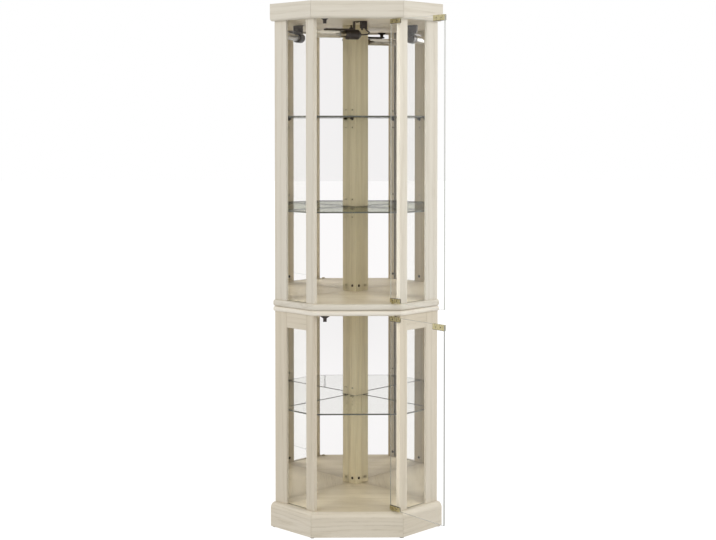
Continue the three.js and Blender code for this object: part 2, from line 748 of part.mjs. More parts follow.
// Shares of the loop's reach, of the switch's distance forward, and of the climb to it
const leadShares = [
  [0, 0, 0],
  [0.5, 0, 0],
  [0.95, 0.3, 0.1],
  [1, 0.8, 0.35],
  [0.65, 1, 0.6],
  [0.5, 1, 0.78],
  [0.5, 1, 1],
];
const leadPoints = leadShares.map(
  ([back, forward, climb]) =>
    new THREE.Vector3(
      -SEAT_GAP - back * LEAD_LOOP,
      forward * SWITCH_FORWARD,
      climb * (switchFoot - SEAT_GAP),
    ),
);
const leadRound = new THREE.Shape().absarc(0, 0, LEAD_RADIUS, 0, Math.PI + Math.PI);
const lead = new THREE.ExtrudeGeometry(leadRound, {
  steps: LEAD_STEPS,
  curveSegments: LEAD_SIDES / 2,
  extrudePath: new THREE.CatmullRomCurve3(leadPoints),
});
addMesh(lamp, "lamp_lead", lead, BLACK);

export default cabinet;
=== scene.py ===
# A corner curio cabinet in whitewashed ash, dressed for the camera. Metres, +Z up, the
# front looks along -Y.
import math

import bmesh
import bpy
from mathutils import Matrix, Vector


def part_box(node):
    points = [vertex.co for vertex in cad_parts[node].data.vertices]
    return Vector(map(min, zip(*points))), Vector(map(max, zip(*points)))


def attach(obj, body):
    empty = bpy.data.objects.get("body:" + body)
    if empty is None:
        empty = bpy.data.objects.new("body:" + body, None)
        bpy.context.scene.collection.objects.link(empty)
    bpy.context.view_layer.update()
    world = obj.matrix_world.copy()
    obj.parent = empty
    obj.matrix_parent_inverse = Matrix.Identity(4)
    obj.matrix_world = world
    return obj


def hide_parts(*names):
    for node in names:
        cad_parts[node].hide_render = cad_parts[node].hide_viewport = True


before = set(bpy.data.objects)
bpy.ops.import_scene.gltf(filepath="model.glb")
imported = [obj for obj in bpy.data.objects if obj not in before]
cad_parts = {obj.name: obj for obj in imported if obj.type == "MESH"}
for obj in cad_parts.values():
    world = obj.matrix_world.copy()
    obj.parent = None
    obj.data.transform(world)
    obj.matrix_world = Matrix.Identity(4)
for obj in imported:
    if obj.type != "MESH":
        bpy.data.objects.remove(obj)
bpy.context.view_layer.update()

scene = bpy.context.scene

# The camera stood a little left of the middle, above half height. It looked two degrees
# down, with the lens shifted down as well, so upright edges stay nearly upright.
CAMERA_DISTANCE = 4.547  # in front of the plinth
CAMERA_HEIGHT = 1.38
CAMERA_ASIDE = -0.0664
CAMERA_TURN = math.radians(-0.874)
CAMERA_DIP = math.radians(1.80)
LENS = 68.76
SENSOR = 36.0
LENS_SHIFT = -0.1396
SIGHT_END = 60

front_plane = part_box("plinth_front")[0].y
camera_data = bpy.data.cameras.new("camera")
camera_data.lens = LENS
camera_data.sensor_width = SENSOR
camera_data.shift_y = LENS_SHIFT
camera_data.clip_end = SIGHT_END
camera = bpy.data.objects.new("camera", camera_data)
camera.location = (CAMERA_ASIDE, front_plane - CAMERA_DISTANCE, CAMERA_HEIGHT)
camera.rotation_euler = (math.radians(90) - CAMERA_DIP, 0, CAMERA_TURN)
scene.collection.objects.link(camera)
scene.camera = camera

# A white room: a pale floor, an even white surround that the mirrors look back into, and
# a large soft lamp on each side. The right one is the stronger.
FLOOR_SIZE = 60.0
ROOM_LIGHT = 0.62  # what the white room gives to matt surfaces
ROOM_LOOK = 1.0  # how bright it looks, also in the mirrors
FLOOR_COLOUR = (0.22, 0.22, 0.22, 1)
FLOOR_ROUGHNESS = 0.7
FLOOR_LOOK = 0.95  # the sweep is lit from all round, as in a cut-out photo
FLOOR_LIGHT = 0.37  # what it gives back to matt surfaces
LAMP_SIZE = 1.8

scene.view_settings.view_transform = "Standard"
scene.view_settings.look = "None"
world = bpy.data.worlds.new("surround")
scene.world = world
world.use_nodes = True
world_tree = world.node_tree
world_path = world_tree.nodes.new("ShaderNodeLightPath")
world_level = world_tree.nodes.new("ShaderNodeMapRange")
world_level.inputs["To Min"].default_value = ROOM_LOOK
world_level.inputs["To Max"].default_value = ROOM_LIGHT
world_light = world_tree.nodes["Background"]
world_light.inputs["Color"].default_value = (1, 1, 1, 1)
world_tree.links.new(world_path.outputs["Is Diffuse Ray"], world_level.inputs["Value"])
world_tree.links.new(world_level.outputs["Result"], world_light.inputs["Strength"])


def soft_lamp(name, place, target, power):
    """A square area lamp that looks at a target."""
    data = bpy.data.lights.new(name, "AREA")
    data.shape = "RECTANGLE"
    data.size = data.size_y = LAMP_SIZE
    data.energy = power
    lamp = bpy.data.objects.new(name, data)
    lamp.location = place
    lamp.rotation_euler = (Vector(target) - Vector(place)).to_track_quat("-Z", "Y").to_euler()
    lamp.visible_camera = False
    lamp.visible_glossy = False
    scene.collection.objects.link(lamp)


soft_lamp("key", place=(2.5, -2.1, 2.6), target=(0, -0.2, 1.4), power=42)
soft_lamp("fill", place=(-2.5, -2.1, 2.1), target=(0, -0.2, 1.2), power=35)

half_floor = FLOOR_SIZE / 2
floor_signs = [(-1, -1), (1, -1), (1, 1), (-1, 1)]
floor_corners = [(x * half_floor, y * half_floor, 0) for x, y in floor_signs]
floor_mesh = bpy.data.meshes.new("floor")
floor_mesh.from_pydata(floor_corners, [], [range(4)])
floor = bpy.data.objects.new("floor", floor_mesh)
scene.collection.objects.link(floor)


class Shading:
    """A material's node tree, with short calls to add and join nodes."""

    def __init__(self, name):
        self.material = bpy.data.materials.new(name)
        self.material.use_nodes = True
        self.tree = self.material.node_tree
        self.shader = self.tree.nodes["Principled BSDF"]

    def node(self, kind, **settings):
        made = self.tree.nodes.new("ShaderNode" + kind)
        for key, value in settings.items():
            setattr(made, key, value)
        return made

    def join(self, source, target):
        self.tree.links.new(source, target)

    def output(self, name):
        return self.tree.nodes["Material Output"].inputs[name]

    def set(self, **values):
        for key, value in values.items():
            self.shader.inputs[key.replace("_", " ")].default_value = value

    def feed(self, node, **values):
        """Gives a node's inputs a value each, or the socket of another node."""
        for key, value in values.items():
            socket = node.inputs[key.replace("_", " ")]
            if isinstance(value, bpy.types.NodeSocket):
                self.join(value, socket)
            else:
                socket.default_value = value
        return node

    def place(self, scale=(1, 1, 1), turn=(0, 0, 0), offset=(0, 0, 0)):
        """Object coordinates, moved, turned and scaled."""
        coordinates = self.node("TexCoord").outputs["Object"]
        mapping = self.node("Mapping", vector_type="TEXTURE")
        self.feed(mapping, Vector=coordinates, Location=offset, Rotation=turn)
        stretch = self.node("VectorMath", operation="MULTIPLY")
        self.join(mapping.outputs["Vector"], stretch.inputs[0])
        stretch.inputs[1].default_value = scale
        return stretch.outputs["Vector"]

    def noise(self, vector, scale, detail=2.0, roughness=0.5, distortion=0.0):
        made = self.node("TexNoise")
        self.feed(made, Vector=vector, Scale=scale, Detail=detail)
        self.feed(made, Roughness=roughness, Distortion=distortion)
        return made.outputs["Fac"]

    def ramp(self, factor, stops):
        """Colours, or grey levels, at places along a factor."""
        made = self.node("ValToRGB")
        self.join(factor, made.inputs["Fac"])
        elements = made.color_ramp.elements
        while len(elements) < len(stops):
            elements.new(1)
        for element, (place, colour) in zip(elements, stops):
            element.position = place
            element.color = (*colour, 1) if isinstance(colour, tuple) else (colour,) * 3 + (1,)
        return made.outputs["Color"]

    def mix(self, factor, first, second, blend="MIX"):
        made = self.node("Mix", data_type="RGBA", blend_type=blend)
        for index, value in ((0, factor), (6, first), (7, second)):
            if isinstance(value, bpy.types.NodeSocket):
                self.join(value, made.inputs[index])
            elif index:
                made.inputs[index].default_value = (*value, 1)
            else:
                made.inputs[index].default_value = value
        return made.outputs[2]

    def share_of(self, factor, share):
        return self.mix(1.0, factor, (share,) * 3, blend="MULTIPLY")

    def tone(self, factor, stops):
        """The surface's colour, along a factor."""
        self.join(self.ramp(factor, stops), self.shader.inputs["Base Color"])

    def shine(self, factor, stops):
        """The surface's roughness, along a factor."""
        self.join(self.ramp(factor, stops), self.shader.inputs["Roughness"])

    def bump(self, height, strength, distance):
        made = self.node("Bump")
        self.feed(made, Height=height, Strength=strength, Distance=distance)
        self.join(made.outputs["Normal"], self.shader.inputs["Normal"])


painted_floor = Shading("painted_floor")
painted_floor.set(Base_Color=FLOOR_COLOUR, Roughness=FLOOR_ROUGHNESS, Specular_IOR_Level=0.0)
painted_floor.set(Emission_Color=(1, 1, 1, 1))
floor_path = painted_floor.node("LightPath")
floor_level = painted_floor.node("MapRange")
painted_floor.feed(
    floor_level, Value=floor_path.outputs["Is Diffuse Ray"], To_Min=FLOOR_LOOK, To_Max=FLOOR_LIGHT
)
painted_floor.join(floor_level.outputs["Result"], painted_floor.shader.inputs["Emission Strength"])
floor_mesh.materials.append(painted_floor.material)

# The carcass is solid ash boards and posts. Each is planed, its edges are eased, and it is
# stained with a thin white wash that stays in the open grain, under a satin lacquer. The
# faces inside are painted darker and more olive, as painted shade; the rear posts are painted
# lighter below and darker above, as painted light and shade; the lower deck's outer faces are
# painted paler, as painted light; and the lower boards are a little darker and warmer.
SECTIONS = ("lower", "upper")
SIDES = {"left": -1, "right": 1}
WELD = 1e-6  # points closer than this are one
FLAT = math.radians(0.5)  # faces that turn less than this are one
SHARP = math.radians(28)  # edges that turn more than this are eased
EASE_SEGMENTS = 2
BOARD_EASE = 0.0007


def shown(name, mesh, body, slot, *nodes):
    """A finished piece: it rides on a body and stands for its CAD nodes. Its slot is not used."""
    piece = bpy.data.objects.new(name, mesh)
    scene.collection.objects.link(piece)
    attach(piece, body)
    if nodes:
        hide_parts(*nodes)
    return piece


def planed(node):
    """A node's solid with its triangles joined into flat faces."""
    form = bmesh.new()
    form.from_mesh(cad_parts[node].data)
    bmesh.ops.remove_doubles(form, verts=form.verts, dist=WELD)
    bmesh.ops.dissolve_limit(form, angle_limit=FLAT, verts=form.verts, edges=form.edges)
    return form


def ease(form, radius):
    """Rounds the sharp edges of a solid."""
    form.normal_update()
    edges = [e for e in form.edges if len(e.link_faces) == 2 and e.calc_face_angle(0) > SHARP]
    bmesh.ops.bevel(
        form,
        geom=edges,
        offset=radius,
        segments=EASE_SEGMENTS,
        profile=0.5,
        affect="EDGES",
        clamp_overlap=True,
    )


def broad_normals(mesh):
    """Normals that follow the large faces, so only the eased edges look round."""
    sums = [Vector() for _ in mesh.vertices]
    for face in mesh.polygons:
        for index in face.vertices:
            sums[index] += face.normal * face.area
    mesh.normals_split_custom_set_from_vertices([total.normalized() for total in sums])


def finished_mesh(name, form, *materials, flat=False):
    """A mesh from a solid, shaded round over its eased edges unless it is flat."""
    mesh = bpy.data.meshes.new(name)
    bmesh.ops.triangulate(form, faces=[f for f in form.faces if len(f.verts) > 4])
    form.to_mesh(mesh)
    form.free()
    for material in materials:
        mesh.materials.append(material)
    if not flat:
        mesh.shade_smooth()
        broad_normals(mesh)
    return mesh


WAVE_TURN = math.tau / 20  # one wave's length at a scale of one
RING_PITCH = 0.024
CUT_PITCH = 0.011  # on a flat-sawn face, where the rings close in arches
RING_STRETCH = 0.055  # patterns are drawn out along the grain
CUT_STRETCH = 0.11
FIBRE_STRETCH = 0.02
DRIFT_SCALE = 9.0
STREAK_SCALE = 210.0
PORE_SCALE = 620.0
RING_SHARE = 0.55  # of the wash's warmer tone
TONE_SHARE = 0.5
PORE_COLOUR = (0.40, 0.345, 0.25)
PORE_DEPTH = 0.0004
# Each wash has a paler and a warmer tone.
OUTER_WASH = ((0.72, 0.675, 0.585), (0.63, 0.575, 0.475))
WARM_WASH = ((0.705, 0.637, 0.52), (0.615, 0.54, 0.415))
PLINTH_WASH = ((0.755, 0.688, 0.575), (0.66, 0.585, 0.455))
# The lower deck's outer faces are painted paler: painted light where its nose catches the lamps.
LOWER_DECK_LIT_WASH = ((0.86, 0.81, 0.71), (0.77, 0.70, 0.59))
# The faces inside are painted darker and more olive: painted shade of the cabinet's inside.
INSIDE_SHADE_WASH = ((0.71, 0.62, 0.455), (0.62, 0.525, 0.355))
# The rear posts are painted light and shade: lighter in the lower section, darker in the upper.
REAR_LIT_AND_SHADED_WASHES = {
    "lower": ((0.84, 0.75, 0.52), (0.74, 0.64, 0.41)),
    "upper": ((0.66, 0.59, 0.40), (0.57, 0.49, 0.31)),
}


def ash(name, turn, offset, wash, heart=None):
    """Whitewashed ash whose grain runs along Z before it is turned.

    A flat-sawn board has the heart of its tree close behind the face."""
    wood = Shading(name)
    along = wood.place(scale=(1, 1, RING_STRETCH), turn=turn, offset=offset)
    fibres = wood.place(scale=(1, 1, FIBRE_STRETCH), turn=turn, offset=offset)

    if heart:
        rings = wood.node("TexWave", wave_type="RINGS", rings_direction="SPHERICAL")
        around = wood.place(scale=(1, 1, CUT_STRETCH), turn=turn, offset=heart)
        wood.feed(rings, Vector=around, Scale=WAVE_TURN / CUT_PITCH, Distortion=2.2)
        wood.feed(rings, Detail=3.0, Detail_Scale=18.0, Detail_Roughness=0.5)
    else:
        rings = wood.node("TexWave", wave_type="BANDS", bands_direction="X")
        wood.feed(rings, Vector=along, Scale=WAVE_TURN / RING_PITCH, Distortion=9.0)
        wood.feed(rings, Detail=3.0, Detail_Scale=1.3, Detail_Roughness=0.6)
    figure = wood.ramp(rings.outputs["Fac"], [(0.1, 0.0), (0.62, 0.25), (0.86, 0.72), (1.0, 1.0)])
    drift = wood.noise(along, DRIFT_SCALE, detail=3, distortion=0.4)
    drift = wood.ramp(drift, [(0.3, 0.0), (0.7, 1.0)])
    streaks = wood.noise(fibres, STREAK_SCALE, detail=3, roughness=0.6)
    streaks = wood.ramp(streaks, [(0.42, 0.0), (0.7, 1.0)])
    pores = wood.noise(fibres, PORE_SCALE, detail=2, roughness=0.7)
    pores = wood.ramp(pores, [(0.5, 0.0), (0.66, 1.0)])
    open_grain = wood.mix(figure, (0.2,) * 3, (0.8,) * 3)
    pore_share = wood.mix(1.0, pores, open_grain, blend="MULTIPLY")

    pale, warm = wash
    colour = wood.mix(wood.share_of(figure, RING_SHARE), pale, warm)
    colour = wood.mix(wood.share_of(drift, TONE_SHARE), colour, warm)
    colour = wood.mix(wood.share_of(streaks, TONE_SHARE), colour, warm)
    colour = wood.mix(wood.share_of(pore_share, TONE_SHARE), colour, PORE_COLOUR)
    wood.join(colour, wood.shader.inputs["Base Color"])
    wood.shine(pore_share, [(0.0, 0.42), (1.0, 0.72)])
    wood.set(Specular_IOR_Level=0.3)
    wood.bump(wood.ramp(pore_share, [(0.0, 1.0), (1.0, 0.0)]), 0.35, PORE_DEPTH)
    return wood.material


UPRIGHT = (0, 0, 0)
ACROSS = (0, math.radians(90), 0)
ALONG_RIGHT = (0, math.radians(90), math.radians(45))
ALONG_LEFT = (0, math.radians(90), math.radians(-45))
GRAIN = {
    "plinth_front": ACROSS,
    "plinth_left": ALONG_LEFT,
    "plinth_right": ALONG_RIGHT,
    "base_board_left": ALONG_RIGHT,
    "base_board_right": ALONG_LEFT,
    "floor_panel": ACROSS,
    "lower_deck": ACROSS,
    "upper_deck": ACROSS,
    "top_panel": ACROSS,
    "crown_front": ACROSS,
    "crown_left": ALONG_LEFT,
    "crown_right": ALONG_RIGHT,
    "lower_top_rail_left": ALONG_LEFT,
    "lower_top_rail_right": ALONG_RIGHT,
}
for section in SECTIONS:
    GRAIN[f"{section}_rear_post"] = UPRIGHT
    for side in SIDES:
        GRAIN[f"{section}_front_post_{side}"] = UPRIGHT
        GRAIN[f"{section}_side_post_{side}"] = UPRIGHT

HEARTS = {
    "plinth_front": (0.03, -0.405, 0.012),
    "plinth_left": (-0.30, -0.30, 0.03),
    "plinth_right": (0.16, -0.37, 0.05),
}
INWARD = {side: Vector((-sign, 1, 0)).normalized() for side, sign in SIDES.items()}
BOARD_STEP = (0.37, 0.53, 0.71)  # each board is cut from another place in the pattern
LEVEL = 0.99  # the least that a normal follows an axis, for a face that counts as level
LOOKS_IN = 0.5


def faces_inside(node, normal):
    """Whether a face of a board looks into the cabinet, and so gets the wash of painted shade."""
    if node.endswith("rear_post") or node in ("floor_panel", "top_panel"):
        return True
    if node.endswith("deck"):
        return abs(normal.z) > LEVEL
    side = node.rsplit("_", 1)[1]
    return "post" in node and normal.dot(INWARD[side]) > LOOKS_IN


def washes_of(node):
    """The wash on a board's outer faces, and the wash of painted shade on its faces inside."""
    outside = WARM_WASH if node.startswith(("base", "lower")) else OUTER_WASH
    # Painted light on the lower deck's nose.
    if node == "lower_deck":
        outside = LOWER_DECK_LIT_WASH
    if node.startswith("plinth"):
        outside = PLINTH_WASH
    section = node.split("_")[0]
    inside = REAR_LIT_AND_SHADED_WASHES[section] if node.endswith("rear_post") else INSIDE_SHADE_WASH
    return outside, inside


for count, (node, turn) in enumerate(GRAIN.items()):
    board = planed(node)
    ease(board, BOARD_EASE)
    for face in board.faces:
        face.material_index = int(faces_inside(node, face.normal))
    offset = tuple(step * count for step in BOARD_STEP)
    outer_wash, inside_shade_wash = washes_of(node)
    outer = ash(node + "_ash", turn, offset, outer_wash, HEARTS.get(node))
    shaded_inner = ash(node + "_shaded_inner_ash", turn, offset, inside_shade_wash)
    mesh = finished_mesh(node + "_wood", board, outer, shaded_inner)
    shown(node + "_wood", mesh, "cabinet", "whitewashed_wood", node)

# Steel pins with dark sleeves carry the shelves, and the spare pin holes have thin dark
# eyelets. A bolt low on each post draws it against its neighbour. All are bronzed steel,
# turned or cold headed, and they repeat, so a node tree sets one form on many points.
BRONZE_TONES = [(0.3, (0.030, 0.021, 0.013)), (0.8, (0.066, 0.047, 0.030))]
TRIM_GAP = 0.0001  # keeps a piece of trim just off the face that it sits on


def bronzed(name):
    """Steel with a dark bronze finish."""
    steel = Shading(name)
    mottle = steel.noise(steel.place(), 480.0, detail=3)
    steel.tone(mottle, BRONZE_TONES)
    steel.set(Roughness=0.38, Metallic=0.35)
    steel.bump(mottle, 0.15, 0.0002)
    return steel.material


def turned_form(name, profile, steps=16):
    """A turned solid about Z, from its profile of radius and height."""
    form = bmesh.new()
    rings = []
    for radius, height in profile:
        if radius:
            angles = [math.tau * i / steps for i in range(steps)]
            ring = [(radius * math.cos(a), radius * math.sin(a), height) for a in angles]
            rings.append([form.verts.new(co) for co in ring])
        else:
            rings.append([form.verts.new((0, 0, height))] * steps)
    for low, high in zip(rings, rings[1:]):
        for i in range(steps):
            corners = [low[i], low[(i + 1) % steps], high[(i + 1) % steps], high[i]]
            form.faces.new(list(dict.fromkeys(corners)))
    bmesh.ops.recalc_face_normals(form, faces=form.faces)
    mesh = bpy.data.meshes.new(name)
    form.to_mesh(mesh)
    form.free()
    mesh.shade_smooth()
    return mesh


def fastener_tree():
    """Sets a form on every point, turned to the point's facing, and gives it a material."""
    tree = bpy.data.node_groups.new("fasteners", "GeometryNodeTree")
    face = tree.interface
    face.new_socket("Points", in_out="INPUT", socket_type="NodeSocketGeometry")
    face.new_socket("Form", in_out="INPUT", socket_type="NodeSocketObject")
    face.new_socket("Finish", in_out="INPUT", socket_type="NodeSocketMaterial")
    face.new_socket("Fasteners", in_out="OUTPUT", socket_type="NodeSocketGeometry")
    add = tree.nodes.new
    given, made = add("NodeGroupInput"), add("NodeGroupOutput")
    source = add("GeometryNodeObjectInfo")
    facing = add("GeometryNodeInputNamedAttribute")
    facing.data_type = "FLOAT_VECTOR"
    facing.inputs["Name"].default_value = "facing"
    turn = add("FunctionNodeAlignEulerToVector")
    turn.axis = "Z"
    copies = add("GeometryNodeInstanceOnPoints")
    real = add("GeometryNodeRealizeInstances")
    finish = add("GeometryNodeSetMaterial")
    link = tree.links.new
    link(given.outputs["Points"], copies.inputs["Points"])
    link(given.outputs["Form"], source.inputs["Object"])
    link(source.outputs["Geometry"], copies.inputs["Instance"])
    link(facing.outputs["Attribute"], turn.inputs["Vector"])
    link(turn.outputs["Rotation"], copies.inputs["Rotation"])
    link(copies.outputs["Instances"], real.inputs["Geometry"])
    link(real.outputs["Geometry"], finish.inputs["Geometry"])
    link(given.outputs["Finish"], finish.inputs["Material"])
    link(finish.outputs["Geometry"], made.inputs["Fasteners"])
    return tree


FASTENERS = fastener_tree()


def set_fasteners(name, form, seats, material, body, slot):
    """A piece of one form at many seats, each a place and the way it faces."""
    points = bpy.data.meshes.new(name)
    points.from_pydata([place for place, _ in seats], [], [])
    facing = points.attributes.new("facing", "FLOAT_VECTOR", "POINT")
    for index, (_, way) in enumerate(seats):
        facing.data[index].vector = Vector(way).normalized()
    pattern = bpy.data.objects.new(name + "_form", form)
    carrier = bpy.data.objects.new(name, points)
    for made in (pattern, carrier):
        scene.collection.objects.link(made)
    growth = carrier.modifiers.new("fasteners", "NODES")
    growth.node_group = FASTENERS
    values = {"Form": pattern, "Finish": material}
    for socket in FASTENERS.interface.items_tree:
        if socket.name in values and socket.in_out == "INPUT":
            growth[socket.identifier] = values[socket.name]
    depsgraph = bpy.context.evaluated_depsgraph_get()
    mesh = bpy.data.meshes.new_from_object(carrier.evaluated_get(depsgraph))
    bpy.data.objects.remove(carrier)
    bpy.data.objects.remove(pattern)
    mesh.name = name
    return shown(name, mesh, body, slot)


# Places on the posts' inner faces: a plan position and the way the face looks.
DIAGONAL = math.sqrt(0.5)
SEATS = {
    "front_left": ((-0.15324, -0.37383), (DIAGONAL, DIAGONAL, 0)),
    "front_right": ((0.15324, -0.37383), (-DIAGONAL, DIAGONAL, 0)),
    "side_left": ((-0.24939, -0.27768), (DIAGONAL, DIAGONAL, 0)),
    "side_right": ((0.24939, -0.27768), (-DIAGONAL, DIAGONAL, 0)),
    "rear": ((-0.01149, -0.03871), (-DIAGONAL, -DIAGONAL, 0)),
    "rear_right": ((0.01167, -0.03854), (DIAGONAL, -DIAGONAL, 0)),
}
OUTER_SEATS = ("front_left", "front_right", "side_left", "side_right")
SHELVES = ("lower_shelf", "middle_shelf", "upper_shelf")
PEG_DROP = 0.0053  # from the middle of a shelf's glass to a peg's axis
SPARE_HOLE_PITCH = 0.032
BOLT_RISE = 0.020  # above the floors


def peg_level(shelf):
    low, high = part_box(shelf)
    return (low.z + high.z) / 2 - PEG_DROP


def seats_at(height, names):
    return [((*SEATS[name][0], height), SEATS[name][1]) for name in names]


peg_levels = [peg_level(shelf) for shelf in SHELVES]
hole_levels = [z + step for z in peg_levels for step in (-SPARE_HOLE_PITCH, SPARE_HOLE_PITCH)]
bolt_levels = [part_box(node)[1].z + BOLT_RISE for node in ("floor_panel", "upper_deck")]

fastener_bronze = bronzed("fastener_bronze")
sleeve = turned_form(
    "sleeve",
    [
        (0, 0.0001),
        (0.0068, 0.0001),
        (0.0068, 0.0008),
        (0.0062, 0.0013),
        (0.00265, 0.0016),
        (0.00265, 0.0111),
        (0.0022, 0.0115),
        (0, 0.0115),
    ],
)
eyelet = turned_form(
    "eyelet",
    [
        (0.0025, -0.006),
        (0.0028, -0.006),
        (0.0028, 0.0001),
        (0.0031, 0.0001),
        (0.0031, 0.0003),
        (0.0028, 0.0004),
        (0.0025, 0.0003),
        (0.0025, -0.006),
    ],
)
bolt_head = turned_form(
    "bolt_head",
    [
        (0, 0.0001),
        (0.005, 0.0001),
        (0.005, 0.0011),
        (0.0043, 0.0021),
        (0.0027, 0.0026),
        (0.0022, 0.0026),
        (0.0022, 0.0009),
        (0, 0.0009),
    ],
)
# Those on the rear post are drawn once: the mirrors beside it don't double them.
for name, form, levels, rear_seats in (
    ("peg_sleeves", sleeve, peg_levels, ("rear",)),
    ("hole_eyelets", eyelet, hole_levels, ("rear",)),
    ("post_bolts", bolt_head, bolt_levels, ("rear", "rear_right")),
):
    for place, names in (("outer", OUTER_SEATS), ("rear", rear_seats)):
        seats = [seat for level in levels for seat in seats_at(level, names)]
        piece = set_fasteners(
            f"{place}_{name}", form, seats, fastener_bronze, "cabinet", "bronzed_steel"
        )
        piece.visible_glossy = place == "outer"

# The mirrors are silvered float glass on a thin backing board, let into the posts. From
# behind, the board's brown face shows.
MIRROR_EASE = 0.0004
SILVERED_FACE = 0.9
BOARD_TONES = [(0.3, (0.30, 0.21, 0.13)), (0.75, (0.45, 0.34, 0.22))]


def silvered(name, tone):
    """Silvered glass that gives back a share of the light."""
    silver = Shading(name)
    smudges = silver.noise(silver.place(), 14.0, detail=4, roughness=0.6)
    silver.shine(smudges, [(0.35, 0.0), (0.8, 0.012)])
    silver.set(Base_Color=(*tone, 1), Metallic=1.0)
    return silver.material


# The lower pair's duller silver is painted shade: it gives back less light than the upper pair's.
SILVERS_LIT_AND_SHADED = {
    "lower": silvered("lower_shaded_silver", (0.90, 0.893, 0.892)),
    "upper": silvered("upper_silver", (0.945, 0.938, 0.938)),
}

backing_board = Shading("backing_board")
board_place = backing_board.place(scale=(1, 1, 0.6))
speck = backing_board.noise(board_place, 260.0, detail=4, roughness=0.7)
backing_board.tone(speck, BOARD_TONES)
backing_board.set(Roughness=0.75)
backing_board.bump(speck, 0.3, 0.0005)

for section in SECTIONS:
    for side, sign in SIDES.items():
        node = f"{section}_mirror_{side}"
        inwards = Vector((-sign, -1, 0)).normalized()
        sheet = planed(node)
        ease(sheet, MIRROR_EASE)
        for face in sheet.faces:
            face.material_index = 0 if face.normal.dot(inwards) > SILVERED_FACE else 1
        faces = (SILVERS_LIT_AND_SHADED[section], backing_board.material)
        mesh = finished_mesh(node + "_glass", sheet, *faces, flat=True)
        shown(node + "_glass", mesh, "cabinet", "mirror_glass", node)

# Each backing board is held in its rebate by small steel pins with low heads, tapped in
# along its edges.
PIN_PITCH = 0.16
PIN_MARGIN = 0.024  # from the board's edges
panel_pin = turned_form(
    "panel_pin",
    [(0, 0), (0.0022, 0), (0.0021, 0.0004), (0.0012, 0.0008), (0, 0.0009)],
    steps=12,
)
pin_seats = []
for section in SECTIONS:
    for side, sign in SIDES.items():
        node = f"{section}_mirror_{side}"
        outwards = Vector((sign, 1, 0)).normalized()
        along = Vector((-outwards.y, outwards.x, 0))
        points = [v.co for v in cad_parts[node].data.vertices]
        back = max(point.dot(outwards) for point in points)
        reaches = [point.dot(along) for point in points]
        low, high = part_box(node)
        pinned = high.z - low.z - 2 * PIN_MARGIN
        steps = round(pinned / PIN_PITCH)
        for step in range(steps + 1):
            z = low.z + PIN_MARGIN + step * pinned / steps
            for reach in (min(reaches) + PIN_MARGIN, max(reaches) - PIN_MARGIN):
                place = back * outwards + reach * along
                pin_seats.append(((place.x, place.y, z), outwards))
set_fasteners("panel_pins", panel_pin, pin_seats, fastener_bronze, "cabinet", "bronzed_steel")

# Shelves, side panes and doors are clear float glass. Their edges are ground and polished,
# and look darker than the faces, because they look down the length of the glass.
GLASS_EASE = 0.0006
WIDE_FACE = 0.97
FILM_SHARE = 0.985  # what the film of handling lets through
SHELF_DEPTH_TINT = 5.0
SHELF_DEPTH_COLOUR = (0.15, 0.20, 0.0, 1)
EDGE_ON = [(0.84, 0.0), (0.93, 0.62)]  # how much of the depth shows, from face on to edge on
EDGE_SHADE = (0.75, 0.8, 0.76)  # what lamp light keeps where it passes
PANE_SHADE = (0.97, 0.98, 0.97)
SHELF_SHADE = (0.95, 0.96, 0.94)
SHELF_DEPTH_SHADE = (0.82, 0.825, 0.75)
DOOR_OPEN = math.radians(129)


def float_glass(name, tint, index, shine):
    """Clear glass with a faint film of handling on it. A low index keeps its shine low."""
    glass = Shading(name)
    glass.set(Transmission_Weight=1.0, Roughness=0.0, IOR=index, Specular_Tint=(*shine, 1))
    film = glass.noise(glass.place(), 5.0, detail=3)
    glass.tone(film, [(0.35, tint), (0.75, tuple(part * FILM_SHARE for part in tint))])
    return glass


def ground_edge(name, dark, pale):
    """The ground edge of a sheet, between two tones."""
    edge = Shading(name)
    grinding = edge.noise(edge.place(), 900.0, detail=2)
    edge.tone(grinding, [(0.3, dark), (0.7, pale)])
    edge.set(Roughness=0.22, Transmission_Weight=0.3, IOR=1.45)
    return edge


def tinted_share(glass, share, surface, tint):
    """A share of the surface gives way to a plain tint."""
    clear = glass.node("BsdfTransparent")
    clear.inputs["Color"].default_value = (*tint, 1)
    either = glass.node("MixShader")
    for socket, source in zip(either.inputs, (share, surface, clear.outputs[0])):
        glass.join(source, socket)
    return either.outputs[0]


def let_lamps_through(glass, tint, depth_tint=None):
    """Lamp light passes the glass as it does in the real pane. Seen nearly edge on, a shelf
    shows the depth of its glass."""
    surface = glass.shader.outputs[0]
    if depth_tint:
        facing = glass.node("LayerWeight").outputs["Facing"]
        surface = tinted_share(glass, glass.ramp(facing, EDGE_ON), surface, depth_tint)
    shadow = glass.node("LightPath").outputs["Is Shadow Ray"]
    surface = tinted_share(glass, shadow, surface, tint)
    glass.join(surface, glass.output("Surface"))


def glazed(node, body, faces_along, glass, edge):
    """A sheet of glass: its wide faces are clear and the rest is ground edge."""
    sheet = planed(node)
    ease(sheet, GLASS_EASE)
    for face in sheet.faces:
        face.material_index = 0 if abs(face.normal.dot(faces_along)) > WIDE_FACE else 1
    faces = (glass.material, edge.material)
    mesh = finished_mesh(node + "_sheet", sheet, *faces, flat=True)
    return shown(node + "_sheet", mesh, body, "clear_glass", node)


clear_glass = float_glass("clear_glass", (0.997, 0.995, 0.985), 1.22, (1, 1, 0.95))
door_glass = float_glass("door_glass", (0.998, 0.998, 0.992), 1.32, (1, 1, 1))
shelf_glass = float_glass("shelf_glass", (0.985, 0.985, 0.965), 1.35, (0.6, 0.6, 0.55))
shelf_edge = ground_edge("shelf_edge", (0.09, 0.09, 0.07), (0.17, 0.17, 0.14))
